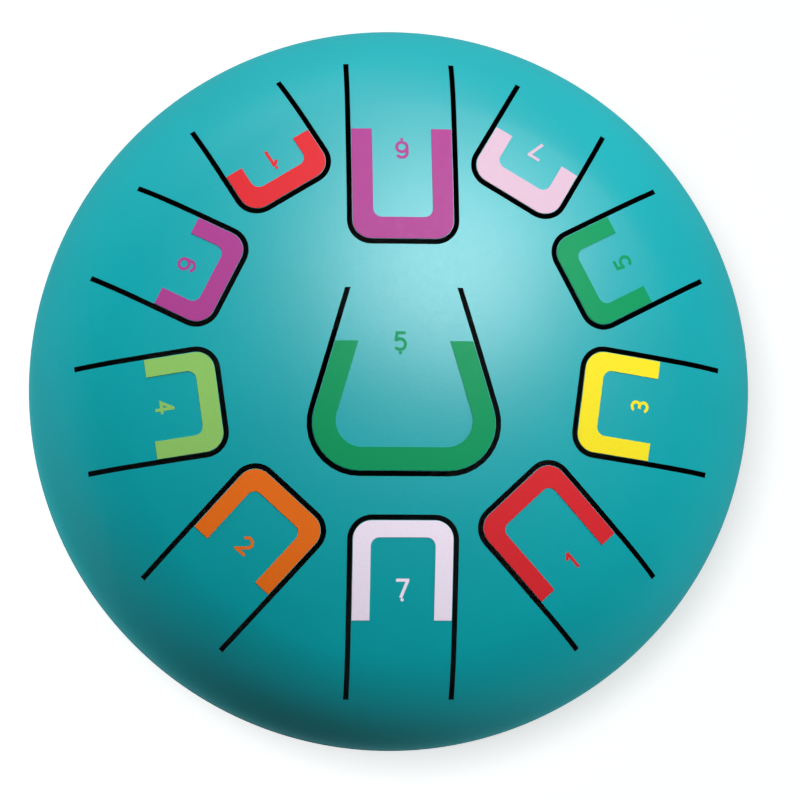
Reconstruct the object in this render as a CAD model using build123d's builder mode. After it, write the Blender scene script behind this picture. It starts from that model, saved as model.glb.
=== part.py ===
from build123d import *
from dataclasses import dataclass
from math import asin, atan, cos, degrees, radians, sin, sqrt
import os

# A steel tongue drum. A pressed steel dome is welded to a pressed steel pan at the rim, and the drum
# stands on three rubber feet. U-shaped slots leave eleven tongues free in the dome: ten in a ring, with
# their roots towards the rim, and a broad one in the middle. Each has a coloured vinyl marker at its tip.
# Lengths are in millimetres, +Z is up, and the origin is on the floor under the middle of the drum.
# Bearings are in degrees from +X towards +Y, and +Y is the side of the longest tongue of the ring.

# Pressed shells
drum_radius = 127.0
wall = 2.0
crown_radius = 270.0
shoulder_radius = 50.0
upper_skirt = 4.0
base_corner_radius = 50.0
lower_skirt = 8.0

# Rim weld: a V groove round the joint of the two skirts, and the bead that fills it
weld_groove = 0.9
weld_crown = 0.3

# Sound port in the middle of the base, with its lip turned up into the drum
port_radius = 32.0
port_lip_bend = 5.0
port_lip_straight = 3.0

# Slots, and the thin gap at a root where a tongue bends
slot_width = 1.8
root_gap = 0.2

# Ring tongues, laid out on the circle that their roots stand on, which keeps a margin to the rim. Tip reaches
# and widths are shares of that circle's radius, so that the slots keep apart, from the shortest tongue up
root_margin = 17.5
ring_corner_radius = 7.4
ring_notes = ("high_1", "7", "6", "5", "4", "3", "2", "1", "low_7", "low_6")
ring_bearing_angles = (121, 59, 153, 27.5, 188, -7.5, -132.5, -47, -90, 90)
ring_tip_shares = (0.658, 0.648, 0.6, 0.589, 0.564, 0.551, 0.501, 0.488, 0.443, 0.41)
ring_width_shares = (0.315, 0.315, 0.32, 0.32, 0.329, 0.333, 0.329, 0.333, 0.329, 0.333)

# Middle tongue: a blunt wedge that widens from its root, on the +Y side, to its tip, inside the ring of tips
middle_bearing_angle = 90
middle_root_share = 0.265
middle_tip_share = 0.31
middle_root_width_share = 0.347
middle_tip_width_share = 0.69
middle_corner_radius = 17.0

# Vinyl markers: a band along the tip and a leg along each side, up to a share of the tongue's length
vinyl = 0.2
adhesive = 0.05
marker_inset = 0.15
marker_band = 6.5
marker_leg = 6.0
marker_corner_radius = 3.0
middle_marker_corner_radius = 9.0
ring_band_shares = (1.0, 1.15, 0.95, 1.0, 1.0, 1.0, 1.0, 1.0, 0.87, 1.15)
ring_leg_shares = (1.0, 1.05, 1.0, 1.03, 1.0, 1.0, 1.0, 1.0, 1.0, 1.17)
ring_marker_shares = (0.45, 0.52, 0.46, 0.535, 0.505, 0.55, 0.555, 0.625, 0.565, 0.62)
middle_band_share = 1.2
middle_leg_share = 1.25
middle_marker_share = 0.71

# Rubber feet on the flat of the base, turned so that the slots show none of the nuts above them
foot_count = 3
foot_bearing_angle = 115
foot_height = 10.0
foot_top_radius = 10.5
foot_bottom_radius = 9.0
foot_edge_round = 1.2
foot_land_margin = 0.5
foot_web = 4.5

# Screw, washer and nut of a foot
screw_radius = 2.0
screw_clearance = 0.2
screw_head_radius = 4.0
screw_head_height = 2.6
screw_head_round = 1.4
screw_tip = 1.0
driver_slot_length = 4.6
driver_slot_width = 1.0
driver_slot_depth = 1.3
washer_radius = 4.5
washer_thickness = 0.8
washer_clearance = 0.5
nut_across_flats = 7.0
nut_height = 3.2
nut_chamfer = 0.4
thread_clearance = 0.05

# Overrun of every cut past the face that it leaves through
overrun = 2.0

# Levels and radii that follow from the sizes above
base_level = foot_height
base_corner_level = base_level + base_corner_radius
seam_level = base_corner_level + lower_skirt
shoulder_level = seam_level + upper_skirt
shoulder_centre_radius = drum_radius - shoulder_radius
crown_angle = degrees(asin(shoulder_centre_radius / (crown_radius - shoulder_radius)))
crown_drop = sqrt((crown_radius - shoulder_radius) ** 2 - shoulder_centre_radius ** 2)
crown_centre_level = shoulder_level - crown_drop
top_level = crown_centre_level + crown_radius
base_flat_radius = drum_radius - base_corner_radius
foot_pitch_radius = base_flat_radius - foot_land_margin - foot_top_radius
ring_root_reach = drum_radius - root_margin


@dataclass
class Tongue:
    """A tongue's plan on the level of the seam: its slot's middle line, and the marker at its tip."""

    note: str
    bearing: float
    root: float
    tip: float
    root_width: float
    tip_width: float
    corner_radius: float
    marker_share: float
    band: float
    leg: float
    marker_corner_radius: float

    @property
    def plane(self):
        direction = (cos(radians(self.bearing)), sin(radians(self.bearing)), 0)
        return Plane(origin=(0, 0, seam_level), x_dir=direction, z_dir=(0, 0, 1))

    @property
    def taper(self):
        return atan((self.root_width - self.tip_width) / (2 * (self.root - self.tip)))

    @property
    def marker_end(self):
        return self.tip + self.marker_share * (self.root - self.tip)

    def half_width(self, reach, inset):
        """Half the plan's width at a reach, with its sides moved in by an inset."""
        middle_line = self.tip_width / 2 + (reach - self.tip) * (self.root_width - self.tip_width) / (
            2 * (self.root - self.tip)
        )
        return middle_line - inset / cos(self.taper)

    def outline(self, end, tip_inset, side_inset, corner):
        """Four-sided plan from the tip to an end, square there and rounded at the tip's two corners."""
        start = self.tip + tip_inset
        with BuildSketch(self.plane) as plan:
            with BuildLine():
                Polyline(
                    (end, -self.half_width(end, side_inset)),
                    (start, -self.half_width(start, side_inset)),
                    (start, self.half_width(start, side_inset)),
                    (end, self.half_width(end, side_inset)),
                    close=True,
                )
            make_face()
            fillet(plan.vertices().sort_by(Axis.X)[:2], corner)
        return plan.sketch

    def window(self):
        """The opening in the dome: the tongue with its slot."""
        out = -slot_width / 2
        return self.outline(self.root, out, out, self.corner_radius - out)

    def blade(self):
        """The tongue itself, inside its slot."""
        inset = slot_width / 2
        return self.outline(self.root - root_gap, inset, inset, self.corner_radius - inset)

    def marker_plan(self):
        """The marker with the field between its legs: the tip end of the blade."""
        inset = slot_width / 2 + marker_inset
        return self.outline(self.marker_end, inset, inset, self.corner_radius - inset)

    def marker_field(self):
        """The field between the marker's legs, where the lacquer shows."""
        edge = slot_width / 2 + marker_inset
        end = self.marker_end + overrun
        return self.outline(end, edge + self.band, edge + self.leg, self.marker_corner_radius)


ring_rows = zip(
    ring_notes,
    ring_bearing_angles,
    ring_tip_shares,
    ring_width_shares,
    ring_marker_shares,
    ring_band_shares,
    ring_leg_shares,
)
tongues = [
    Tongue(
        note,
        bearing,
        ring_root_reach,
        ring_root_reach * tip_share,
        ring_root_reach * width_share,
        ring_root_reach * width_share,
        ring_corner_radius,
        marker_share,
        marker_band * band_share,
        marker_leg * leg_share,
        marker_corner_radius,
    )
    for note, bearing, tip_share, width_share, marker_share, band_share, leg_share in ring_rows
]
tongues.append(
    Tongue(
        "low_5",
        middle_bearing_angle,
        ring_root_reach * middle_root_share,
        -ring_root_reach * middle_tip_share,
        ring_root_reach * middle_root_width_share,
        ring_root_reach * middle_tip_width_share,
        middle_corner_radius,
        middle_marker_share,
        marker_band * middle_band_share,
        marker_leg * middle_leg_share,
        middle_marker_corner_radius,
    )
)


def dome_curve(lift):
    """The dome's section, moved out from its outer face by a lift: the crown arc, then the shoulder arc."""
    crown = CenterArc((0, crown_centre_level), crown_radius + lift, 90, -crown_angle)
    shoulder = CenterArc(
        (shoulder_centre_radius, shoulder_level), shoulder_radius + lift, 90 - crown_angle, crown_angle - 90
    )
    return crown, shoulder


def foot_places():
    """The places of the feet's screws on a sketch of the base."""
    return PolarLocations(foot_pitch_radius, foot_count, foot_bearing_angle)


os.makedirs("parts", exist_ok=True)

# The dome as it leaves the press, before its slots are cut
with BuildPart() as pressed_dome:
    with BuildSketch(Plane.XZ):
        with BuildLine():
            outer_crown, outer_shoulder = dome_curve(0)
            inner_crown, inner_shoulder = dome_curve(-wall)
            Line(inner_crown @ 0, outer_crown @ 0)
            Polyline(
                outer_shoulder @ 1,
                (drum_radius, seam_level + weld_groove),
                (drum_radius - weld_groove, seam_level),
                (drum_radius - wall, seam_level),
                inner_shoulder @ 1,
            )
        make_face()
    revolve(axis=Axis.Z)

# The layer over the dome that the markers are cut from
with BuildPart() as vinyl_layer:
    with BuildSketch(Plane.XZ):
        with BuildLine():
            top_crown, top_shoulder = dome_curve(adhesive + vinyl)
            under_crown, under_shoulder = dome_curve(adhesive)
            Line(under_crown @ 0, top_crown @ 0)
            Line(top_shoulder @ 1, under_shoulder @ 1)
        make_face()
    revolve(axis=Axis.Z)

through_dome = top_level - seam_level + overrun

# Upper shell
with BuildPart() as upper_shell:
    add(pressed_dome.part)
    for tongue in tongues:
        extrude(tongue.window(), amount=through_dome, mode=Mode.SUBTRACT)
upper_shell.part.label = "upper_shell"
export_step(upper_shell.part, "parts/upper_shell.step")

# Tongues and their markers
for tongue in tongues:
    with BuildPart() as blade:
        add(pressed_dome.part)
        extrude(tongue.blade(), amount=through_dome, mode=Mode.INTERSECT)
    blade.part.label = f"tongue_{tongue.note}"
    export_step(blade.part, f"parts/tongue_{tongue.note}.step")

    with BuildPart() as marker:
        add(vinyl_layer.part)
        extrude(tongue.marker_plan(), amount=through_dome, mode=Mode.INTERSECT)
        extrude(tongue.marker_field(), amount=through_dome, mode=Mode.SUBTRACT)
    marker.part.label = f"marker_{tongue.note}"
    export_step(marker.part, f"parts/marker_{tongue.note}.step")

# Lower shell: a flat base with the sound port and the feet's screw holes, and a round corner up to the rim
port_lip_centre = (port_radius + port_lip_bend, base_level + port_lip_bend)
port_lip_top = base_level + port_lip_bend + port_lip_straight
base_corner_centre = (base_flat_radius, base_corner_level)
with BuildPart() as lower_shell:
    with BuildSketch(Plane.XZ):
        with BuildLine():
            outer_corner = CenterArc(base_corner_centre, base_corner_radius, 0, -90)
            inner_corner = CenterArc(base_corner_centre, base_corner_radius - wall, 0, -90)
            port_side_bend = CenterArc(port_lip_centre, port_lip_bend, -90, -90)
            inside_bend = CenterArc(port_lip_centre, port_lip_bend - wall, -90, -90)
            Line(outer_corner @ 1, port_side_bend @ 0)
            Line(inner_corner @ 1, inside_bend @ 0)
            Polyline(
                port_side_bend @ 1,
                (port_radius, port_lip_top),
                (port_radius + wall, port_lip_top),
                inside_bend @ 1,
            )
            Polyline(
                outer_corner @ 0,
                (drum_radius, seam_level - weld_groove),
                (drum_radius - weld_groove, seam_level),
                (drum_radius - wall, seam_level),
                inner_corner @ 0,
            )
        make_face()
    revolve(axis=Axis.Z)
    with BuildSketch(Plane.XY.offset(base_level)):
        with foot_places():
            Circle(screw_radius + screw_clearance)
    extrude(amount=wall, mode=Mode.SUBTRACT)
lower_shell.part.label = "lower_shell"
export_step(lower_shell.part, "parts/lower_shell.step")

# Weld bead: it fills the groove and stands a little proud of the rim
with BuildPart() as seam_weld:
    with BuildSketch(Plane.XZ):
        with BuildLine():
            bead_face = ThreePointArc(
                (drum_radius, seam_level - weld_groove),
                (drum_radius + weld_crown, seam_level),
                (drum_radius, seam_level + weld_groove),
            )
            Polyline(bead_face @ 1, (drum_radius - weld_groove, seam_level), bead_face @ 0)
        make_face()
    revolve(axis=Axis.Z)
seam_weld.part.label = "seam_weld"
export_step(seam_weld.part, "parts/seam_weld.step")

# Feet: rubber buttons that widen towards the shell, each with a recess for its washer and screw head
washer_seat = foot_height - foot_web
for number in range(foot_count):
    bearing = radians(foot_bearing_angle + 360 / foot_count * number)
    place = Plane(origin=(foot_pitch_radius * cos(bearing), foot_pitch_radius * sin(bearing), 0))
    with BuildPart() as foot:
        with BuildSketch(place):
            Circle(foot_bottom_radius)
        with BuildSketch(place.offset(foot_height)):
            Circle(foot_top_radius)
        loft()
        fillet(foot.edges().group_by(Axis.Z)[0], foot_edge_round)
        with BuildSketch(place):
            Circle(washer_radius + washer_clearance)
        extrude(amount=washer_seat, mode=Mode.SUBTRACT)
        with BuildSketch(place):
            Circle(screw_radius + screw_clearance)
        extrude(amount=foot_height, mode=Mode.SUBTRACT)
    foot.part.label = f"foot_{number + 1}"
    export_step(foot.part, f"parts/foot_{number + 1}.step")

# Washers under the screw heads
head_seat = washer_seat - washer_thickness
with BuildPart() as foot_washers:
    with BuildSketch(Plane.XY.offset(head_seat)):
        with foot_places():
            Circle(washer_radius)
            Circle(screw_radius + screw_clearance, mode=Mode.SUBTRACT)
    extrude(amount=washer_thickness)
foot_washers.part.label = "foot_washers"
export_step(foot_washers.part, "parts/foot_washers.step")

# Pan head screws, up through foot and shell, with a cross for the driver
head_face = head_seat - screw_head_height
nut_seat = base_level + wall
screw_end = nut_seat + nut_height + screw_tip
with BuildPart() as foot_screws:
    with BuildSketch(Plane.XY.offset(head_face)):
        with foot_places():
            Circle(screw_head_radius)
    extrude(amount=screw_head_height)
    fillet(foot_screws.edges().group_by(Axis.Z)[0], screw_head_round)
    with BuildSketch(Plane.XY.offset(head_seat)):
        with foot_places():
            Circle(screw_radius)
    extrude(amount=screw_end - head_seat)
    with BuildSketch(Plane.XY.offset(head_face)):
        with foot_places():
            Rectangle(driver_slot_length, driver_slot_width)
            Rectangle(driver_slot_width, driver_slot_length)
    extrude(amount=driver_slot_depth, mode=Mode.SUBTRACT)
foot_screws.part.label = "foot_screws"
export_step(foot_screws.part, "parts/foot_screws.step")

# Hexagon nuts, inside the drum
with BuildPart() as foot_nuts:
    with BuildSketch(Plane.XY.offset(nut_seat)):
        with foot_places():
            RegularPolygon(nut_across_flats / 2, 6, major_radius=False)
            Circle(screw_radius + thread_clearance, mode=Mode.SUBTRACT)
    extrude(amount=nut_height)
    chamfer(foot_nuts.edges().group_by(Axis.Z)[-1].filter_by(GeomType.LINE), nut_chamfer)
foot_nuts.part.label = "foot_nuts"
export_step(foot_nuts.part, "parts/foot_nuts.step")
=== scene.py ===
from collections import namedtuple
from math import asin, atan, atan2, cos, hypot, pi, radians, sin, sqrt, tan

import bpy
from mathutils import Matrix, Vector


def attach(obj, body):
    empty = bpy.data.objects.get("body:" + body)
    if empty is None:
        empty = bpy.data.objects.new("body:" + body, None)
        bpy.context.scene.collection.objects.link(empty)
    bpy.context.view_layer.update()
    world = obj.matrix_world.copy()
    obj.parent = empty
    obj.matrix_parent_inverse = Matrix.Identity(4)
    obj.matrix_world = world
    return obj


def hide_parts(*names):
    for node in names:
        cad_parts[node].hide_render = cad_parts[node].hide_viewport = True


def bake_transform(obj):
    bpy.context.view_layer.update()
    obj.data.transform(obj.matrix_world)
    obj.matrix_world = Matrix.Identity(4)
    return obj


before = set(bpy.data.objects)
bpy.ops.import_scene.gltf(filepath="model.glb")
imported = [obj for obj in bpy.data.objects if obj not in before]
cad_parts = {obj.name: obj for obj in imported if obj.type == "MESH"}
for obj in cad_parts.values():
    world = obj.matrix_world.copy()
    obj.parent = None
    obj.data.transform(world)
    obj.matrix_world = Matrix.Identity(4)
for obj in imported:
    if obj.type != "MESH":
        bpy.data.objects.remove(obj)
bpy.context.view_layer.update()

# A steel tongue drum in numbered notation, put together from the pan up. Lengths are in metres, +Z is up,
# and the origin is on the floor under the middle of the drum. Bearings are in degrees from +X towards +Y.

# Lower shell: a pan of 2 mm steel sheet, pressed with a round corner up to its rim. Its middle is pierced for
# the sound port, with the lip turned up into the drum, and three holes take the screws of the feet. Outside
# it is sprayed with the same teal lacquer as the dome, over a dark primer that is all the inside has; the
# primer's near-black tone is painted shade of the drum's hollow.
drum_radius = 0.127
wall = 0.002
base_level = 0.010
base_corner_radius = 0.050
base_flat_radius = drum_radius - base_corner_radius
base_corner_level = base_level + base_corner_radius
lower_skirt = 0.008
seam_level = base_corner_level + lower_skirt
weld_groove = 0.0009
port_radius = 0.032
port_lip_bend = 0.005
port_lip_straight = 0.003
port_lip_top = base_level + port_lip_bend + port_lip_straight
screw_pitch_radius = 0.066
screw_bearings = (115, 235, 355)
screw_hole_radius = 0.0022
round_steps = 240
corner_steps = 22
lip_steps = 10
rod_steps = 48
merge_distance = 0.000002
hard_edge_angle = 35
facing_up = 0.5
section_axis = (0, 1, 0)


def begin_line(name, x, y, z):
    """Starts a drawn line: a small plane, merged to one point that is moved to its place."""
    bpy.ops.object.select_all(action="DESELECT")
    bpy.ops.mesh.primitive_plane_add(size=wall, location=(0, 0, 0))
    piece = bpy.context.active_object
    piece.name = name
    piece.data.name = name
    bpy.ops.object.mode_set(mode="EDIT")
    bpy.ops.mesh.merge(type="CENTER")
    bpy.ops.transform.translate(value=(x, y, z))
    return piece


def draw_line(x, y, z):
    """Draws the line on, straight, by a step along each axis."""
    bpy.ops.mesh.extrude_region_move(TRANSFORM_OT_translate={"value": (x, y, z)})


def draw_arc(steps, angle, centre, axis):
    """Draws the line on round a centre, by a right-handed angle; the operator itself turns the other way."""
    bpy.ops.mesh.spin(steps=steps, angle=-angle, center=centre, axis=axis)


def turn_round(steps):
    """Turns the drawn section once round the drum's upright axis and closes the skin that it leaves."""
    bpy.ops.mesh.select_all(action="SELECT")
    bpy.ops.mesh.spin(steps=steps, angle=2 * pi, center=(0, 0, 0), axis=(0, 0, 1))
    bpy.ops.mesh.select_all(action="SELECT")
    bpy.ops.mesh.remove_doubles(threshold=merge_distance)
    bpy.ops.mesh.normals_make_consistent(inside=False)
    bpy.ops.object.mode_set(mode="OBJECT")


def pick(piece):
    """Makes a piece the only one selected, and the active one."""
    bpy.ops.object.select_all(action="DESELECT")
    piece.select_set(True)
    bpy.context.view_layer.objects.active = piece


def set_in_place(piece):
    """Moves a piece's place, turn and scale into its mesh."""
    pick(piece)
    bpy.ops.object.transform_apply(location=True, rotation=True, scale=True)


def join(pieces):
    """Joins pieces into the first of them."""
    pick(pieces[0])
    for piece in pieces:
        piece.select_set(True)
    bpy.ops.object.join()
    return pieces[0]


def cut(piece, cutter, operation):
    """Cuts a piece with a cutter, which is used up, and merges the slivers along the cut."""
    pick(piece)
    modifier = piece.modifiers.new("cut", "BOOLEAN")
    modifier.operation = operation
    modifier.solver = "EXACT"
    modifier.object = cutter
    bpy.ops.object.modifier_apply(modifier=modifier.name)
    bpy.data.objects.remove(cutter)
    bpy.ops.object.mode_set(mode="EDIT")
    bpy.ops.mesh.select_all(action="SELECT")
    bpy.ops.mesh.remove_doubles(threshold=merge_distance)
    bpy.ops.mesh.dissolve_degenerate(threshold=merge_distance)
    bpy.ops.object.mode_set(mode="OBJECT")


def upright_rod(name, x, y, radius, low, high):
    """An upright round rod from a low to a high level."""
    bpy.ops.object.select_all(action="DESELECT")
    bpy.ops.mesh.primitive_cylinder_add(
        vertices=rod_steps, radius=radius, depth=high - low, location=(x, y, (low + high) / 2)
    )
    rod = bpy.context.active_object
    rod.name = name
    set_in_place(rod)
    return rod


def smooth(piece, angle=hard_edge_angle):
    """Shades a piece smooth, with hard edges past an angle."""
    pick(piece)
    bpy.ops.object.shade_smooth_by_angle(angle=radians(angle))


lip_centre = (port_radius + port_lip_bend, 0, base_level + port_lip_bend)
corner_centre = (base_flat_radius, 0, base_corner_level)
lower_shell = begin_line("lower_shell_pan", port_radius, 0, port_lip_top)
draw_line(0, 0, lip_centre[2] - port_lip_top)
draw_arc(lip_steps, -pi / 2, lip_centre, section_axis)
draw_line(base_flat_radius - lip_centre[0], 0, 0)
draw_arc(corner_steps, -pi / 2, corner_centre, section_axis)
draw_line(0, 0, lower_skirt - weld_groove)
draw_line(-weld_groove, 0, weld_groove)
draw_line(weld_groove - wall, 0, 0)
draw_line(0, 0, -lower_skirt)
draw_arc(corner_steps, pi / 2, corner_centre, section_axis)
draw_line(lip_centre[0] - base_flat_radius, 0, 0)
draw_arc(lip_steps, pi / 2, lip_centre, section_axis)
draw_line(0, 0, port_lip_top - lip_centre[2])
draw_line(-wall, 0, 0)
turn_round(round_steps)
screw_places = []
screw_holes = []
for bearing in screw_bearings:
    x = screw_pitch_radius * cos(radians(bearing))
    y = screw_pitch_radius * sin(radians(bearing))
    screw_places.append((x, y))
    hole = upright_rod("screw_hole", x, y, screw_hole_radius, base_level - wall, base_level + 2 * wall)
    screw_holes.append(hole)
cut(lower_shell, join(screw_holes), "DIFFERENCE")
smooth(lower_shell)


def new_finish(name):
    """A new material: the material itself, its node tree and its shader."""
    material = bpy.data.materials.new(name)
    material.use_nodes = True
    return material, material.node_tree, material.node_tree.nodes["Principled BSDF"]


def place_on_drum(tree):
    """Object coordinates, which are the drum's own."""
    return tree.nodes.new("ShaderNodeTexCoord").outputs["Object"]


def noise(tree, scale, detail):
    """A noise pattern on the drum's coordinates."""
    pattern = tree.nodes.new("ShaderNodeTexNoise")
    pattern.inputs["Scale"].default_value = scale
    pattern.inputs["Detail"].default_value = detail
    tree.links.new(place_on_drum(tree), pattern.inputs["Vector"])
    return pattern.outputs["Fac"]


def spread(tree, value, low, high, start=0.3, stop=0.7):
    """Spreads a stretch of a value over new limits; the usual stretch is a noise pattern's middle range."""
    change = tree.nodes.new("ShaderNodeMapRange")
    change.inputs["From Min"].default_value = start
    change.inputs["From Max"].default_value = stop
    change.inputs["To Min"].default_value = low
    change.inputs["To Max"].default_value = high
    tree.links.new(value, change.inputs["Value"])
    return change.outputs["Result"]


def two_tones(tree, value, first, second):
    """A colour between two tones, by a pattern."""
    blend = tree.nodes.new("ShaderNodeMix")
    blend.data_type = "RGBA"
    tree.links.new(value, blend.inputs["Factor"])
    blend.inputs["A"].default_value = (*first, 1)
    blend.inputs["B"].default_value = (*second, 1)
    return blend.outputs["Result"]


def arithmetic(tree, operation, *values):
    """One step of arithmetic on values, of which each is a socket or a number."""
    step = tree.nodes.new("ShaderNodeMath")
    step.operation = operation
    for socket, value in zip(step.inputs, values):
        if isinstance(value, (int, float)):
            socket.default_value = value
        else:
            tree.links.new(value, socket)
    return step.outputs[0]


def from_axis(tree):
    """Distance from the drum's upright axis."""
    flat = tree.nodes.new("ShaderNodeVectorMath")
    flat.operation = "MULTIPLY"
    flat.inputs[1].default_value = (1, 1, 0)
    tree.links.new(place_on_drum(tree), flat.inputs[0])
    reach = tree.nodes.new("ShaderNodeVectorMath")
    reach.operation = "LENGTH"
    tree.links.new(flat.outputs["Vector"], reach.inputs[0])
    return reach.outputs["Value"]


def bump(tree, shader, height, strength, distance):
    """Raises a pattern on the surface."""
    relief = tree.nodes.new("ShaderNodeBump")
    relief.inputs["Strength"].default_value = strength
    relief.inputs["Distance"].default_value = distance
    tree.links.new(height, relief.inputs["Height"])
    tree.links.new(relief.outputs["Normal"], shader.inputs["Normal"])


def coat(tree, shader, colour, roughness):
    """Gives the shader its colour and its roughness."""
    tree.links.new(colour, shader.inputs["Base Color"])
    tree.links.new(roughness, shader.inputs["Roughness"])


# Sprayed lacquer: an even teal with the faint waviness of a sprayed coat, a little uneven in tone and gloss.
# It lies drier, and so duller, on the steep shoulder and sides than on the crown
light_teal = (0.0, 0.348, 0.388)
deep_teal = (0.0, 0.328, 0.367)
lacquer_shine = 0.3
dry_edge_dullness = 0.4
dry_edge_start = 0.095
dry_edge_stop = 0.124
teal_lacquer, tree, shader = new_finish("teal_lacquer_coat")
cloud = spread(tree, noise(tree, scale=22, detail=4), low=0, high=1)
mist = spread(tree, noise(tree, scale=900, detail=3), low=0.36, high=0.41)
dry_edge = spread(tree, from_axis(tree), 0, dry_edge_dullness, dry_edge_start, dry_edge_stop)
dullness = arithmetic(tree, "ADD", mist, dry_edge)
coat(tree, shader, two_tones(tree, cloud, light_teal, deep_teal), dullness)
bump(tree, shader, noise(tree, scale=700, detail=2), strength=0.05, distance=0.0004)
shader.inputs["Specular IOR Level"].default_value = lacquer_shine

# Primer: thin and dull, with the cloudy marks of the dip that it came from; its near-black tone is painted
# shade of the drum's hollow
primer_shade_thin = (0.03, 0.033, 0.034)
primer_shade_thick = (0.012, 0.014, 0.015)
primer_and_hollow_shade, tree, shader = new_finish("dark_primer_inside")
dip_marks = noise(tree, scale=90, detail=5)
primer_dullness = spread(tree, dip_marks, low=0.6, high=0.8)
coat(tree, shader, two_tones(tree, dip_marks, primer_shade_thick, primer_shade_thin), primer_dullness)
bump(tree, shader, noise(tree, scale=1200, detail=3), strength=0.1, distance=0.0002)

lower_shell.data.materials.append(teal_lacquer)
lower_shell.data.materials.append(primer_and_hollow_shade)
# Faces that look into the hollow take the primer, whose near-black tone is painted shade
for face in lower_shell.data.polygons:
    outward = Vector((face.center.x, face.center.y, 0))
    from_seam = face.center - Vector((0, 0, seam_level))
    if outward.length > lip_centre[0]:
        inside = face.normal.dot(from_seam) < 0
    else:
        inside = face.normal.dot(outward) > 0 or face.normal.z > facing_up
    if inside:
        face.material_index = 1
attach(lower_shell, "drum_body")
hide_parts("lower_shell")

# Upper shell: a dome of 2 mm steel sheet, pressed to a shallow crown with a round shoulder and a short skirt.
# Eleven U-shaped slots are cut right through it, which leave the tongues free, and then it is lacquered teal.
# The cut faces inside the slots are near-black, as painted shade of the narrow slots.
crown_radius = 0.270
shoulder_radius = 0.050
upper_skirt = 0.004
shoulder_level = seam_level + upper_skirt
shoulder_centre_radius = drum_radius - shoulder_radius
crown_angle = asin(shoulder_centre_radius / (crown_radius - shoulder_radius))
crown_centre_level = shoulder_level - (crown_radius - shoulder_radius) * cos(crown_angle)
top_level = crown_centre_level + crown_radius
crown_centre = (0, 0, crown_centre_level)
shoulder_centre = (shoulder_centre_radius, 0, shoulder_level)
crown_steps = 28
shoulder_steps = 20
slot_width = 0.0018
slot_corner_steps = 10
root_margin = 0.0175
root_circle = drum_radius - root_margin
ring_corner = 0.0074
middle_corner = 0.017
middle_note = "low_5"
# A face is one of the sheet's two broad faces where it looks this much along the dome's normal
broad_facing = 0.9
# Reaches and widths at the root and at the tip are shares of the root circle's radius
TonguePlan = namedtuple("TonguePlan", "note bearing root tip root_width tip_width")
tongue_plans = [
    TonguePlan("high_1", 121, 1, 0.658, 0.315, 0.315),
    TonguePlan("7", 59, 1, 0.648, 0.315, 0.315),
    TonguePlan("6", 153, 1, 0.6, 0.32, 0.32),
    TonguePlan("5", 27.5, 1, 0.589, 0.32, 0.32),
    TonguePlan("4", 188, 1, 0.564, 0.329, 0.329),
    TonguePlan("3", -7.5, 1, 0.551, 0.333, 0.333),
    TonguePlan("2", -132.5, 1, 0.501, 0.329, 0.329),
    TonguePlan("1", -47, 1, 0.488, 0.333, 0.333),
    TonguePlan("low_7", -90, 1, 0.443, 0.329, 0.329),
    TonguePlan("low_6", 90, 1, 0.41, 0.333, 0.333),
    TonguePlan("low_5", 90, 0.265, -0.31, 0.347, 0.69),
]


def pressed_dome(name):
    """The dome as it leaves the press, before its slots are cut."""
    dome = begin_line(name, 0, 0, top_level)
    draw_arc(crown_steps, crown_angle, crown_centre, section_axis)
    draw_arc(shoulder_steps, pi / 2 - crown_angle, shoulder_centre, section_axis)
    draw_line(0, 0, weld_groove - upper_skirt)
    draw_line(-weld_groove, 0, -weld_groove)
    draw_line(weld_groove - wall, 0, 0)
    draw_line(0, 0, upper_skirt)
    draw_arc(shoulder_steps, crown_angle - pi / 2, shoulder_centre, section_axis)
    draw_arc(crown_steps, -crown_angle, crown_centre, section_axis)
    turn_round(round_steps)
    return dome


def slot_corner(plan):
    """Radius of the slot's middle line at the tip's corners."""
    return middle_corner if plan.note == middle_note else ring_corner


def tongue_prism(plan, end_share, tip_inset, side_inset, corner):
    """An upright prism on a tongue's plan, from its tip to a share of its length, with its edges moved in."""
    root = root_circle * plan.root
    tip = root_circle * plan.tip
    taper = atan(root_circle * (plan.root_width - plan.tip_width) / 2 / (root - tip))
    end = tip + end_share * (root - tip)
    start = tip + tip_inset
    start_half = root_circle * plan.tip_width / 2 + tip_inset * tan(taper) - side_inset / cos(taper)
    end_half = start_half + (end - start) * tan(taper)
    turn = pi / 2 - taper
    reach = corner * tan(turn / 2)
    arc_x = start + reach * cos(taper)
    arc_y = start_half + reach * sin(taper)
    centre_x = arc_x + corner * sin(taper)
    centre_y = arc_y - corner * cos(taper)
    prism = begin_line(f"plan_{plan.note}", end, -end_half, seam_level)
    draw_line(arc_x - end, end_half - arc_y, 0)
    draw_arc(slot_corner_steps, -turn, (centre_x, -centre_y, seam_level), (0, 0, 1))
    draw_line(0, 2 * (start_half - reach), 0)
    draw_arc(slot_corner_steps, -turn, (centre_x, centre_y, seam_level), (0, 0, 1))
    draw_line(end - arc_x, end_half - arc_y, 0)
    bpy.ops.mesh.select_all(action="SELECT")
    bpy.ops.mesh.edge_face_add()
    draw_line(0, 0, top_level - seam_level + wall)
    bpy.ops.mesh.select_all(action="SELECT")
    bpy.ops.mesh.normals_make_consistent(inside=False)
    bpy.ops.object.mode_set(mode="OBJECT")
    prism.rotation_euler.z = radians(plan.bearing)
    set_in_place(prism)
    return prism


def dome_normal(point):
    """Outward direction of the dome's sheet at a point."""
    reach = hypot(point.x, point.y)
    if atan2(reach, point.z - crown_centre_level) <= crown_angle:
        return (point - Vector(crown_centre)).normalized()
    out = Vector((point.x, point.y, 0)) / reach
    level = max(point.z, shoulder_level)
    return ((reach - shoulder_centre_radius) * out + Vector((0, 0, level - shoulder_level))).normalized()


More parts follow.
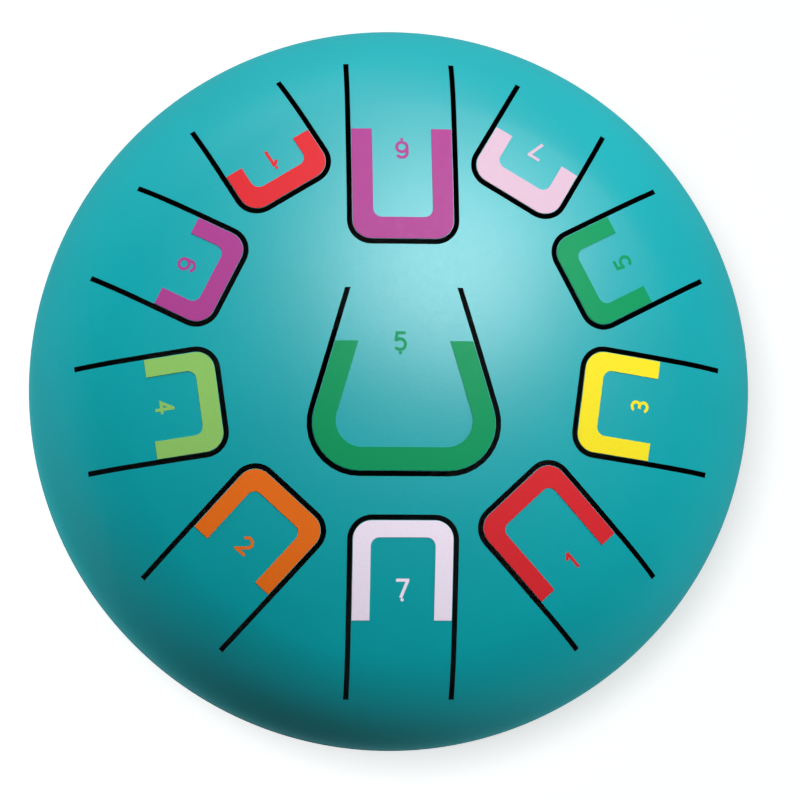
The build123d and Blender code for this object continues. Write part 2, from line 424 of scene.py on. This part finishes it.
def keep_dome_shading(piece, cut_slot, inside_slot):
    """Gives the dome's faces its true normals, so that cuts leave no mark, and each side its own finish."""
    smooth(piece)
    mesh = piece.data
    normals = []
    for face in mesh.polygons:
        facing = dome_normal(face.center).dot(face.normal)
        if facing < -broad_facing:
            face.material_index = inside_slot
        elif facing < broad_facing and face.center.z > shoulder_level:
            face.material_index = cut_slot
        for corner in face.loop_indices:
            out = dome_normal(mesh.vertices[mesh.loops[corner].vertex_index].co)
            if facing > broad_facing:
                normals.append(out)
            elif facing < -broad_facing:
                normals.append(-out)
            else:
                normals.append(Vector((0, 0, 0)))
    mesh.normals_split_custom_set(normals)


# Cut faces: near-black with a fine grain, as painted shade of the narrow slots
slot_shade_deep = (0.004, 0.008, 0.009)
slot_shade_pale = (0.012, 0.02, 0.022)
cut_face_shade, tree, shader = new_finish("slot_cut_face")
cut_face_grain = noise(tree, scale=1500, detail=3)
cut_face_dullness = spread(tree, cut_face_grain, low=0.55, high=0.75)
coat(tree, shader, two_tones(tree, cut_face_grain, slot_shade_deep, slot_shade_pale), cut_face_dullness)
bump(tree, shader, cut_face_grain, strength=0.2, distance=0.0001)


def lacquer_sheet(piece):
    """Gives a piece of the dome lacquer outside, near-black painted shade on its cut faces, and the primer
    inside, darkened as painted shade.
    """
    piece.data.materials.append(teal_lacquer)
    piece.data.materials.append(cut_face_shade)
    piece.data.materials.append(primer_and_hollow_shade)


upper_shell = pressed_dome("upper_shell_dome")
windows = []
for plan in tongue_plans:
    slot_edge = slot_corner(plan) + slot_width / 2
    windows.append(tongue_prism(plan, 1, -slot_width / 2, -slot_width / 2, slot_edge))
cut(upper_shell, join(windows), "DIFFERENCE")
lacquer_sheet(upper_shell)
keep_dome_shading(upper_shell, 1, 2)
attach(upper_shell, "drum_body")
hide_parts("upper_shell")

# Tongues: the strips of the same pressed dome that the slots leave free, each held at its root alone, so that
# it bends and sounds when it is struck. The shorter the tongue, the higher its note.
bend_share = 0.25


def dome_level(x, y):
    """Level of the dome's outer face over a place."""
    reach = hypot(x, y)
    if reach <= crown_radius * sin(crown_angle):
        return crown_centre_level + sqrt(crown_radius**2 - reach**2)
    return shoulder_level + sqrt(shoulder_radius**2 - (reach - shoulder_centre_radius) ** 2)


def piece_on(plan, pieces):
    """The loose piece that lies on a tongue's plan."""
    reach = root_circle * (plan.root + plan.tip) / 2
    middle_x = reach * cos(radians(plan.bearing))
    middle_y = reach * sin(radians(plan.bearing))

    def distance(piece):
        corners = [Vector(corner) for corner in piece.bound_box]
        centre = sum(corners, Vector()) / len(corners)
        return hypot(centre.x - middle_x, centre.y - middle_y)

    return min(pieces, key=distance)


def split_loose(piece):
    """Splits a piece into its loose parts."""
    pick(piece)
    bpy.ops.object.mode_set(mode="EDIT")
    bpy.ops.mesh.select_all(action="SELECT")
    bpy.ops.mesh.separate(type="LOOSE")
    bpy.ops.object.mode_set(mode="OBJECT")
    return list(bpy.context.selected_objects)


tongue_steel = pressed_dome("tongue_steel")
blades = []
for plan in tongue_plans:
    blade_edge = slot_corner(plan) - slot_width / 2
    blades.append(tongue_prism(plan, 1, slot_width / 2, slot_width / 2, blade_edge))
cut(tongue_steel, join(blades), "INTERSECT")
lacquer_sheet(tongue_steel)
loose_tongues = split_loose(tongue_steel)
for plan in tongue_plans:
    note = plan.note
    tongue = piece_on(plan, loose_tongues)
    tongue.name = f"tongue_{note}_strip"
    tongue.data.name = tongue.name
    keep_dome_shading(tongue, 1, 2)
    along = Vector((cos(radians(plan.bearing)), sin(radians(plan.bearing)), 0))
    root = along * root_circle * plan.root
    bend_end = along * root_circle * (plan.root - bend_share * (plan.root - plan.tip))
    root.z = dome_level(root.x, root.y) - wall / 2
    bend_end.z = root.z
    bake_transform(tongue)
    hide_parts(f"tongue_{note}")

# Weld bead: the two skirts meet in a V groove round the rim, which is filled with weld, dressed nearly flush
# and lacquered over with the shells, so that only a low ripple shows.
weld_crown = 0.0003
weld_radius = (weld_groove**2 + weld_crown**2) / (2 * weld_crown)
weld_half_angle = asin(weld_groove / weld_radius)
weld_steps = 6
weld_ripples = 420
weld_teal = (0.0, 0.3, 0.335)
seam_bead = begin_line("seam_weld_bead", drum_radius, 0, seam_level + weld_groove)
weld_centre = (drum_radius + weld_crown - weld_radius, 0, seam_level)
draw_arc(weld_steps, 2 * weld_half_angle, weld_centre, section_axis)
draw_line(-weld_groove, 0, weld_groove)
draw_line(weld_groove, 0, weld_groove)
turn_round(round_steps)
smooth(seam_bead)
bead_lacquer, tree, shader = new_finish("lacquer_on_weld")
axes = tree.nodes.new("ShaderNodeSeparateXYZ")
tree.links.new(place_on_drum(tree), axes.inputs["Vector"])
round_rim = arithmetic(tree, "ARCTAN2", axes.outputs["Y"], axes.outputs["X"])
ripple = arithmetic(tree, "SINE", arithmetic(tree, "MULTIPLY", round_rim, weld_ripples))
bump(tree, shader, ripple, strength=0.25, distance=0.0002)
bead_cloud = noise(tree, scale=60, detail=4)
bead_dullness = spread(tree, bead_cloud, low=0.8, high=0.9)
coat(tree, shader, two_tones(tree, bead_cloud, light_teal, weld_teal), bead_dullness)
shader.inputs["Specular IOR Level"].default_value = lacquer_shine
seam_bead.data.materials.append(bead_lacquer)
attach(seam_bead, "drum_body")
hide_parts("seam_weld")

# Markers: U-shaped pieces of coloured vinyl film, cut to each tongue's tip and stuck on the lacquer. A colour
# stands for a note's name, so the two ones, fives and sixes are alike, and both sevens are pink.
film_bottom = 0.00005
film_top = 0.00025
film_margin = 0.00015
film_inset = slot_width / 2 + film_margin
film_band = 0.0065
film_leg = 0.0060
film_corner = 0.003
middle_film_corner = 0.009
film_shoulder_angle = radians(35)
film_shoulder_steps = 10
field_overrun = 0.05
film_shine = 0.08
film_fade = 0.93
# Share of the tongue's length that a marker covers, and its band and legs as shares of the common ones
MarkerShares = namedtuple("MarkerShares", "length band leg")
marker_shares = {
    "high_1": MarkerShares(0.45, 1.0, 1.0),
    "7": MarkerShares(0.52, 1.15, 1.05),
    "6": MarkerShares(0.46, 0.95, 1.0),
    "5": MarkerShares(0.535, 1.0, 1.03),
    "4": MarkerShares(0.505, 1.0, 1.0),
    "3": MarkerShares(0.55, 1.0, 1.0),
    "2": MarkerShares(0.555, 1.0, 1.0),
    "1": MarkerShares(0.625, 1.0, 1.0),
    "low_7": MarkerShares(0.565, 0.87, 1.0),
    "low_6": MarkerShares(0.62, 1.15, 1.17),
    "low_5": MarkerShares(0.71, 1.2, 1.25),
}
film_tones = {
    "1": ("vinyl_red", (0.66, 0.022, 0.031)),
    "2": ("vinyl_orange", (0.82, 0.16, 0.01)),
    "3": ("vinyl_yellow", (0.88, 0.74, 0.02)),
    "4": ("vinyl_lime", (0.265, 0.545, 0.13)),
    "5": ("vinyl_green", (0.0, 0.285, 0.1)),
    "6": ("vinyl_purple", (0.38, 0.05, 0.26)),
    # The seven's pink is painted darker, against the brighter light on its side of the dome
    "7": ("vinyl_pink", (0.66, 0.46, 0.58)),
}
# The low seven's pink: partly a paler film, and partly painted light
pale_pink_evened_for_light = (0.92, 0.82, 0.96)


def vinyl_film(name, tone):
    """Satin vinyl film: an even colour with a fine print grain and the faint texture of the film."""
    material, tree, shader = new_finish(name)
    faded = tuple(film_fade * part for part in tone)
    grain = noise(tree, scale=2500, detail=2)
    satin = spread(tree, noise(tree, scale=400, detail=3), low=0.45, high=0.55)
    coat(tree, shader, two_tones(tree, spread(tree, grain, low=0, high=1), tone, faded), satin)
    bump(tree, shader, grain, strength=0.04, distance=0.0001)
    shader.inputs["Specular IOR Level"].default_value = film_shine
    return material


films = {}
for digit, (slot, tone) in film_tones.items():
    films[digit] = vinyl_film(f"{slot}_film", tone)
# The low seven's pink is paler: partly a paler film, and partly painted light, while the seven's pink is
# painted darker against its brighter light
films["low_7"] = vinyl_film("vinyl_pale_pink_film", pale_pink_evened_for_light)

film_sheet = begin_line("film_sheet", 0, 0, top_level + film_top)
draw_arc(crown_steps, crown_angle, crown_centre, section_axis)
draw_arc(film_shoulder_steps, film_shoulder_angle, shoulder_centre, section_axis)
film_edge_angle = crown_angle + film_shoulder_angle
film_step = film_bottom - film_top
draw_line(film_step * sin(film_edge_angle), 0, film_step * cos(film_edge_angle))
draw_arc(film_shoulder_steps, -film_shoulder_angle, shoulder_centre, section_axis)
draw_arc(crown_steps, -crown_angle, crown_centre, section_axis)
turn_round(round_steps)
outsides = []
fields = []
for plan in tongue_plans:
    shares = marker_shares[plan.note]
    outside_corner = slot_corner(plan) - film_inset
    field_corner = middle_film_corner if plan.note == middle_note else film_corner
    outsides.append(tongue_prism(plan, shares.length, film_inset, film_inset, outside_corner))
    band = film_inset + film_band * shares.band
    leg = film_inset + film_leg * shares.leg
    fields.append(tongue_prism(plan, shares.length + field_overrun, band, leg, field_corner))
cut(film_sheet, join(outsides), "INTERSECT")
cut(film_sheet, join(fields), "DIFFERENCE")
loose_films = split_loose(film_sheet)
for plan in tongue_plans:
    note = plan.note
    digit = note[-1]
    marker_end = plan.tip + marker_shares[note].length * (plan.root - plan.tip)
    marker = piece_on(plan._replace(root=marker_end), loose_films)
    marker.name = f"marker_{note}_film"
    marker.data.name = marker.name
    marker.data.materials.append(films.get(note, films[digit]))
    keep_dome_shading(marker, 0, 0)
    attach(marker, f"tongue_{note}")
    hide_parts(f"marker_{note}")

# Numerals: the notes' numbers in the same colours, printed one on each tongue above its marker's band. They
# read from the middle of the drum; a dot under a number is an octave down, and a dot over it an octave up.
pen_width = 0.00105
pen_step_angle = 8
print_lift = 0.00001
print_film = 0.00004
digit_half_width = 0.00178
digit_half_height = 0.00283
dot_radius = 0.00055
dot_gap = 0.0006
dot_reach = digit_half_height + pen_width / 2 + dot_gap
octave_sides = {"low": -1, "high": 1}
# Strokes of each digit as shares of its half width and half height. A stroke starts at a point, and goes on
# to further points or round a centre by an angle in degrees
digit_strokes = {
    "1": [
        [(0.15, -1.18), (0.15, 1.18)],
        [(-0.8, 0.45), (0.05, 1.0)],
    ],
    "2": [
        [(-0.94, 0.57), (0, 0.38, -195), (-0.9, -1.0)],
        [(-1.25, -1.0), (1.2, -1.0)],
    ],
    "3": [
        [(-0.72, 0.74), (0, 0.53, -245), (-0.4, 0.06)],
        [(0, 0.06), (0, -0.47, -250)],
    ],
    "4": [
        [(0.35, 1.05), (-0.95, -0.4), (1.2, -0.4)],
        [(0.35, -1.18), (0.35, 1.18)],
    ],
    "5": [
        [(1.0, 1.0), (-0.62, 1.0), (-0.85, 0.02)],
        [(-0.83, 0.06), (-0.06, -0.36, -285)],
    ],
    "6": [
        [(0.88, 0.67), (0, 0.38, 152), (-1.0, -0.35)],
        [(-1.0, -0.38), (0, -0.38, 360)],
    ],
    "7": [
        [(-1.25, 1.0), (1.25, 1.0)],
        [(1.0, 1.0), (-0.3, -1.16)],
    ],
}
# Distance of a numeral's middle from its tongue's tip, and from the tongue's middle line to the left of one
# who looks out along it
numeral_places = {
    "high_1": (0.0145, 0),
    "7": (0.0202, 0),
    "6": (0.0163, 0),
    "5": (0.0212, 0),
    "4": (0.0193, 0),
    "3": (0.0217, 0.0007),
    "2": (0.0235, 0),
    "1": (0.0319, 0),
    "low_7": (0.0237, 0),
    "low_6": (0.0324, 0),
    "low_5": (0.0445, 0.0014),
}


def pen_stroke(path):
    """A flat stroke of the pen: its middle line, raised by the print's thickness and widened both ways."""
    x, y = path[0][0] * digit_half_width, path[0][1] * digit_half_height
    stroke = begin_line("pen_stroke", x, y, 0)
    for step in path[1:]:
        to_x, to_y = step[0] * digit_half_width, step[1] * digit_half_height
        if len(step) == 2:
            draw_line(to_x - x, to_y - y, 0)
            x, y = to_x, to_y
        else:
            turn = radians(step[2])
            draw_arc(round(abs(step[2]) / pen_step_angle), turn, (to_x, to_y, 0), (0, 0, 1))
            out_x, out_y = x - to_x, y - to_y
            x = to_x + out_x * cos(turn) - out_y * sin(turn)
            y = to_y + out_x * sin(turn) + out_y * cos(turn)
    bpy.ops.mesh.select_all(action="SELECT")
    bpy.ops.mesh.remove_doubles(threshold=merge_distance)
    draw_line(0, 0, print_film)
    bpy.ops.mesh.select_all(action="SELECT")
    bpy.ops.mesh.normals_make_consistent(inside=False)
    bpy.ops.object.mode_set(mode="OBJECT")
    modifier = stroke.modifiers.new("pen", "SOLIDIFY")
    modifier.thickness = pen_width
    modifier.offset = 0
    modifier.use_even_offset = True
    pick(stroke)
    bpy.ops.object.modifier_apply(modifier=modifier.name)
    return stroke


def lay_on_dome(numeral, plan):
    """Lays a numeral that was drawn flat on its tongue, and bends it to the dome's curve."""
    outward = Vector((cos(radians(plan.bearing)), sin(radians(plan.bearing)), 0))
    leftward = Vector((-outward.y, outward.x, 0))
    from_tip, aside = numeral_places[plan.note]
    spot = (root_circle * plan.tip + from_tip) * outward + aside * leftward
    spot.z = dome_level(spot.x, spot.y)
    normal = dome_normal(spot)
    reading_up = outward if plan.note == middle_note else -outward
    upward = (reading_up - reading_up.dot(normal) * normal).normalized()
    sideways = upward.cross(normal)
    turn = Matrix((sideways, upward, normal)).transposed().to_4x4()
    numeral.matrix_world = Matrix.Translation(spot + normal * print_lift) @ turn
    set_in_place(numeral)
    for corner in numeral.data.vertices:
        height = (corner.co - spot).dot(normal)
        corner.co.z = dome_level(corner.co.x, corner.co.y) + height


for plan in tongue_plans:
    note = plan.note
    digit = note[-1]
    octave = note.split("_")[0]
    strokes = [pen_stroke(path) for path in digit_strokes[digit]]
    if octave in octave_sides:
        dot_y = octave_sides[octave] * dot_reach
        strokes.append(upright_rod("octave_dot", 0, dot_y, dot_radius, 0, print_film))
    numeral = strokes[0]
    for stroke in strokes[1:]:
        cut(numeral, stroke, "UNION")
    numeral.name = f"numeral_{note}"
    numeral.data.name = numeral.name
    lay_on_dome(numeral, plan)
    numeral.data.materials.append(films.get(note, films[digit]))
    smooth(numeral)
    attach(numeral, f"tongue_{note}")

# Feet: three moulded buttons of black rubber under the flat of the pan, wider at the top, with a round lower
# edge and a recess that hides the head of the screw.
foot_top_radius = 0.0105
foot_bottom_radius = 0.009
foot_edge_round = 0.0012
foot_recess_radius = 0.005
foot_recess_top = 0.0055
foot_edge_softness = 0.0003
foot_steps = 64
foot_edge_steps = 8
soft_edge_steps = 3
soft_edge_angle = 50
moulded_edge_angle = 40
foot_slope = atan((foot_top_radius - foot_bottom_radius) / base_level)
edge_turn = pi / 2 - foot_slope
edge_reach = foot_edge_round * tan(edge_turn / 2)
edge_centre = (foot_bottom_radius - edge_reach, 0, foot_edge_round)
edge_start = foot_bottom_radius + edge_reach * sin(foot_slope)
edge_level = edge_reach * cos(foot_slope)


def soften_edges(piece, width):
    """Takes the sharpness off a piece's hard edges."""
    pick(piece)
    modifier = piece.modifiers.new("soft_edges", "BEVEL")
    modifier.width = width
    modifier.segments = soft_edge_steps
    modifier.limit_method = "ANGLE"
    modifier.angle_limit = radians(soft_edge_angle)
    modifier.use_clamp_overlap = True
    bpy.ops.object.modifier_apply(modifier=modifier.name)


def place_copies(pattern, name):
    """Copies a piece that was modelled on the axis to the screws' places, each copy with its own mesh."""
    copies = []
    for number, (x, y) in enumerate(screw_places):
        copy = pattern.copy()
        copy.data = pattern.data.copy()
        copy.name = f"{name}_{number + 1}"
        copy.data.name = copy.name
        bpy.context.scene.collection.objects.link(copy)
        outward_turn = Matrix.Rotation(radians(screw_bearings[number] - 90), 4, "Z")
        copy.matrix_world = Matrix.Translation((x, y, 0)) @ outward_turn
        set_in_place(copy)
        copies.append(copy)
    bpy.data.objects.remove(pattern)
    return copies


rubber_foot = begin_line("rubber_foot", screw_hole_radius, 0, base_level)
draw_line(foot_top_radius - screw_hole_radius, 0, 0)
draw_line(edge_start - foot_top_radius, 0, edge_level - base_level)
draw_arc(foot_edge_steps, edge_turn, edge_centre, section_axis)
draw_line(foot_recess_radius - edge_centre[0], 0, 0)
draw_line(0, 0, foot_recess_top)
draw_line(screw_hole_radius - foot_recess_radius, 0, 0)
draw_line(0, 0, base_level - foot_recess_top)
turn_round(foot_steps)
soften_edges(rubber_foot, foot_edge_softness)
smooth(rubber_foot, moulded_edge_angle)

# Rubber: nearly black, dull, with the fine grain of the mould and a grey bloom
rubber_black = (0.011, 0.011, 0.011)
rubber_bloom = (0.028, 0.028, 0.027)
rubber_shine = 0.35
black_rubber, tree, shader = new_finish("black_rubber_button")
bloom = noise(tree, scale=160, detail=5)
rubber_dullness = spread(tree, bloom, low=0.62, high=0.8)
coat(tree, shader, two_tones(tree, bloom, rubber_black, rubber_bloom), rubber_dullness)
bump(tree, shader, noise(tree, scale=3200, detail=2), strength=0.25, distance=0.0001)
shader.inputs["Specular IOR Level"].default_value = rubber_shine
rubber_foot.data.materials.append(black_rubber)
for number, foot in enumerate(place_copies(rubber_foot, "rubber_button")):
    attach(foot, "drum_body")
    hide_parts(f"foot_{number + 1}")

# Washers: punched from zinc-plated steel strip. Each lies between a screw's head and the web of its foot, so
# that the head doesn't sink into the rubber.
washer_radius = 0.0045
washer_thickness = 0.0008
washer_edge_softness = 0.00012
head_seat = foot_recess_top - washer_thickness
washer = begin_line("washer", screw_hole_radius, 0, head_seat)
draw_line(washer_radius - screw_hole_radius, 0, 0)
draw_line(0, 0, washer_thickness)
draw_line(screw_hole_radius - washer_radius, 0, 0)
draw_line(0, 0, -washer_thickness)
turn_round(foot_steps)
soften_edges(washer, washer_edge_softness)
smooth(washer, moulded_edge_angle)

# Zinc plating: bright bluish grey, cloudy, with fine turning marks
dull_zinc = (0.55, 0.57, 0.6)
bright_zinc = (0.68, 0.69, 0.7)
zinc_plating, tree, shader = new_finish("zinc_plating")
cloudy = noise(tree, scale=420, detail=4)
zinc_dullness = spread(tree, cloudy, low=0.25, high=0.4)
coat(tree, shader, two_tones(tree, cloudy, dull_zinc, bright_zinc), zinc_dullness)
bump(tree, shader, noise(tree, scale=4000, detail=2), strength=0.08, distance=0.0001)
shader.inputs["Metallic"].default_value = 1
washer.data.materials.append(zinc_plating)
for washer_copy in place_copies(washer, "zinc_washer"):
    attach(washer_copy, "drum_body")
    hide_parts("foot_washers")

# Screws: M4 pan heads of zinc-plated steel, with a cross for the driver. They are driven up from below,
# through the washer, the foot and the pan.
screw_radius = 0.002
head_radius = 0.004
head_height = 0.0026
head_round = 0.0014
head_round_steps = 8
thread_pitch = 0.0007
thread_depth = 0.0003
screw_end = 0.0162
screw_point = 0.0004
cross_length = 0.0046
cross_width = 0.0010
cross_depth = 0.0013
head_face = head_seat - head_height
thread_turns = int((screw_end - screw_point - head_seat) / thread_pitch)
pan_screw = begin_line("pan_screw", 0, 0, head_face)
draw_line(head_radius - head_round, 0, 0)
draw_arc(head_round_steps, -pi / 2, (head_radius - head_round, 0, head_face + head_round), section_axis)
draw_line(0, 0, head_height - head_round)
draw_line(screw_radius - head_radius, 0, 0)
for thread_turn in range(thread_turns):
    draw_line(-thread_depth, 0, thread_pitch / 2)
    draw_line(thread_depth, 0, thread_pitch / 2)
draw_line(0, 0, screw_end - screw_point - head_seat - thread_turns * thread_pitch)
draw_line(-screw_point, 0, screw_point)
draw_line(screw_point - screw_radius, 0, 0)
turn_round(foot_steps)
cross_arms = []
for arm_x, arm_y in ((cross_length, cross_width), (cross_width, cross_length)):
    bpy.ops.object.select_all(action="DESELECT")
    bpy.ops.mesh.primitive_cube_add(size=1, location=(0, 0, head_face))
    arm = bpy.context.active_object
    arm.scale = (arm_x, arm_y, 2 * cross_depth)
    set_in_place(arm)
    cross_arms.append(arm)
for arm in cross_arms:
    cut(pan_screw, arm, "DIFFERENCE")
smooth(pan_screw)
pan_screw.data.materials.append(zinc_plating)
for screw in place_copies(pan_screw, "foot_pan_screw"):
    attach(screw, "drum_body")
    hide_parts("foot_screws")

# Nuts: M4 hexagon nuts of zinc-plated steel with a rounded upper edge. They sit on the screws inside the drum
# and clamp the feet to the pan.
nut_seat = base_level + wall
nut_height = 0.0032
nut_across_flats = 0.007
nut_corner_radius = nut_across_flats / 2 / cos(pi / 6)
nut_edge_round = 0.0004
nut_edge_steps = 3
nut_bore_radius = 0.00205
bpy.ops.object.select_all(action="DESELECT")
bpy.ops.mesh.primitive_cylinder_add(
    vertices=6, radius=nut_corner_radius, depth=nut_height, location=(0, 0, nut_seat + nut_height / 2)
)
hex_nut = bpy.context.active_object
hex_nut.name = "hex_nut"
set_in_place(hex_nut)
bpy.ops.object.mode_set(mode="EDIT")
bpy.ops.mesh.select_mode(type="EDGE")
bpy.ops.mesh.select_all(action="DESELECT")
bpy.ops.object.mode_set(mode="OBJECT")
for edge in hex_nut.data.edges:
    levels = [hex_nut.data.vertices[corner].co.z for corner in edge.vertices]
    edge.select = min(levels) > nut_seat + nut_height / 2
bpy.ops.object.mode_set(mode="EDIT")
bpy.ops.mesh.bevel(offset=nut_edge_round, segments=nut_edge_steps, affect="EDGES")
bpy.ops.mesh.select_mode(type="VERT")
bpy.ops.object.mode_set(mode="OBJECT")
bore = upright_rod("nut_bore", 0, 0, nut_bore_radius, nut_seat - wall, nut_seat + nut_height + wall)
cut(hex_nut, bore, "DIFFERENCE")
smooth(hex_nut)
hex_nut.data.materials.append(zinc_plating)
for nut in place_copies(hex_nut, "foot_hex_nut"):
    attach(nut, "drum_body")
    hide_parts("foot_nuts")

# Floor: plain white paper that keeps the drum's shadow. What the lacquer mirrors of it grows greyer farther
# out, so that the rim stays teal, and under the drum its paper and glow fade to a painted shade, so that the
# slots stay dark.
floor_side = 12
paper_white = 0.6
painted_shade_under_drum = 0.02
paper_glow = 0.69
painted_shade_start = 0.06
painted_shade_stop = 0.11
far_share = 0.35
far_start = 0.225
far_stop = 0.42
bpy.ops.object.select_all(action="DESELECT")
bpy.ops.mesh.primitive_plane_add(size=floor_side, location=(0, 0, 0))
floor = bpy.context.active_object
floor.name = "studio_floor"
floor_paper, tree, shader = new_finish("floor_paper")
tree.nodes.remove(shader)
paper = tree.nodes.new("ShaderNodeBsdfDiffuse")
glow = tree.nodes.new("ShaderNodeEmission")
glow.inputs["Color"].default_value = (1, 1, 1, 1)
reach = from_axis(tree)
# Under the drum the glow and the paper's tone fade to dark: painted shade, so that the slots stay dark
glow_cut_by_painted_shade = spread(tree, reach, 0, paper_glow, painted_shade_start, painted_shade_stop)
far_fall = spread(tree, reach, 1, far_share, far_start, far_stop)
paper_tone_and_painted_shade = spread(tree, reach, painted_shade_under_drum, paper_white, painted_shade_start, painted_shade_stop)
tree.links.new(arithmetic(tree, "MULTIPLY", paper_tone_and_painted_shade, far_fall), paper.inputs["Color"])
rays = tree.nodes.new("ShaderNodeLightPath")
mirror_rays = (rays.outputs["Is Glossy Ray"], rays.outputs["Is Transmission Ray"])
mirrored = arithmetic(tree, "MULTIPLY", arithmetic(tree, "MAXIMUM", *mirror_rays), far_fall)
seen = arithmetic(tree, "ADD", rays.outputs["Is Camera Ray"], mirrored)
tree.links.new(arithmetic(tree, "MULTIPLY", seen, glow_cut_by_painted_shade), glow.inputs["Strength"])
both = tree.nodes.new("ShaderNodeAddShader")
tree.links.new(paper.outputs[0], both.inputs[0])
tree.links.new(glow.outputs[0], both.inputs[1])
tree.links.new(both.outputs[0], tree.nodes["Material Output"].inputs["Surface"])
floor.data.materials.append(floor_paper)

# Light: a soft box over the far right of the drum, another low behind it, a panel that only the gloss shows,
# and at the sides two lamps and two strips close to the floor, which lift the rim. They all leave the floor
# out, and a small lamp above the left side throws the drum's shadow on the floor alone.
air_light = 0.02
air_seen = 0.75
world = bpy.data.worlds.new("studio_air")
bpy.context.scene.world = world
world.use_nodes = True
tree = world.node_tree
tree.nodes.clear()
air = tree.nodes.new("ShaderNodeBackground")
air.inputs["Color"].default_value = (1, 1, 1, 1)
rays = tree.nodes.new("ShaderNodeLightPath")
air_level = spread(tree, rays.outputs["Is Camera Ray"], air_light, air_seen, start=0, stop=1)
tree.links.new(air_level, air.inputs["Strength"])
surface = tree.nodes.new("ShaderNodeOutputWorld")
tree.links.new(air.outputs[0], surface.inputs["Surface"])


def soft_lamp(name, azimuth, zenith, distance, width, height, power, floor_state):
    """A soft box that faces the drum's top, and lights the floor alone or all but the floor."""
    lamp_data = bpy.data.lights.new(name, "AREA")
    lamp_data.shape = "RECTANGLE"
    lamp_data.size = width
    lamp_data.size_y = height
    lamp_data.energy = power
    lamp = bpy.data.objects.new(name, lamp_data)
    bpy.context.scene.collection.objects.link(lamp)
    lean = radians(zenith)
    turn = radians(azimuth)
    away = Vector((sin(lean) * cos(turn), sin(lean) * sin(turn), cos(lean)))
    lamp.location = Vector((0, 0, top_level)) + distance * away
    lamp.rotation_euler = away.to_track_quat("Z", "Y").to_euler()
    lit = bpy.data.collections.new(f"lit_by_{name}")
    lit.objects.link(floor)
    lit.collection_objects[0].light_linking.link_state = floor_state
    lamp.light_linking.receiver_collection = lit
    return lamp


# A lamp's bearing and its angle from the vertical, its distance, width and height, and its power in watts
soft_lamp("over_lamp", 60, 26, 2.2, 1.0, 1.0, 52, "EXCLUDE")
soft_lamp("back_lamp", 98, 73, 2.4, 2.0, 1.2, 28, "EXCLUDE")
shine_panel = soft_lamp("shine_panel", 70, 30, 2.2, 1.4, 1.4, 60, "EXCLUDE")
shine_panel.visible_diffuse = False
# The side lamps are polarised, so that they don't show in the gloss
side_lamps = [
    soft_lamp("right_lamp", -5, 84, 2.4, 1.6, 0.5, 15, "EXCLUDE"),
    soft_lamp("left_lamp", 165, 97, 0.6, 0.4, 0.08, 1.05, "EXCLUDE"),
    soft_lamp("right_strip", -43, 110, 0.32, 0.3, 0.04, 0.18, "EXCLUDE"),
    soft_lamp("left_strip", 198, 110, 0.32, 0.3, 0.04, 0.2, "EXCLUDE"),
]
for lamp in side_lamps:
    lamp.visible_glossy = False
soft_lamp("shadow_lamp", 177.5, 9.6, 2.0, 0.42, 0.42, 23.5, "INCLUDE")

# Camera: almost straight above the drum, where the photograph was taken from, with a long lens. It stands a
# little to the left and to the near side, and the drum's middle is a little off the picture's middle.
bpy.context.scene.view_settings.view_transform = "Standard"
camera_distance = 1.3
camera_lean_x = radians(-4.28)
camera_lean_y = radians(-5.12)
image_side = 800
focal_pixels = 3666.5
image_centre = (389.5, 390.3)
camera_data = bpy.data.cameras.new("overhead_camera")
camera_data.sensor_width = 36
camera_data.lens = focal_pixels / image_side * camera_data.sensor_width
camera_data.shift_x = (image_side / 2 - image_centre[0]) / image_side
camera_data.shift_y = (image_centre[1] - image_side / 2) / image_side
camera_data.clip_start = 0.05
camera = bpy.data.objects.new("overhead_camera", camera_data)
bpy.context.scene.collection.objects.link(camera)
back = Vector((sin(camera_lean_x), sin(camera_lean_y), 0))
back.z = sqrt(1 - back.x**2 - back.y**2)
across = Vector((0, 1, 0)).cross(back).normalized()
upward = back.cross(across)
camera_place = Vector((0, 0, seam_level)) + camera_distance * back
camera_turn = Matrix((across, upward, back)).transposed().to_4x4()
camera.matrix_world = Matrix.Translation(camera_place) @ camera_turn
bpy.context.scene.camera = camera
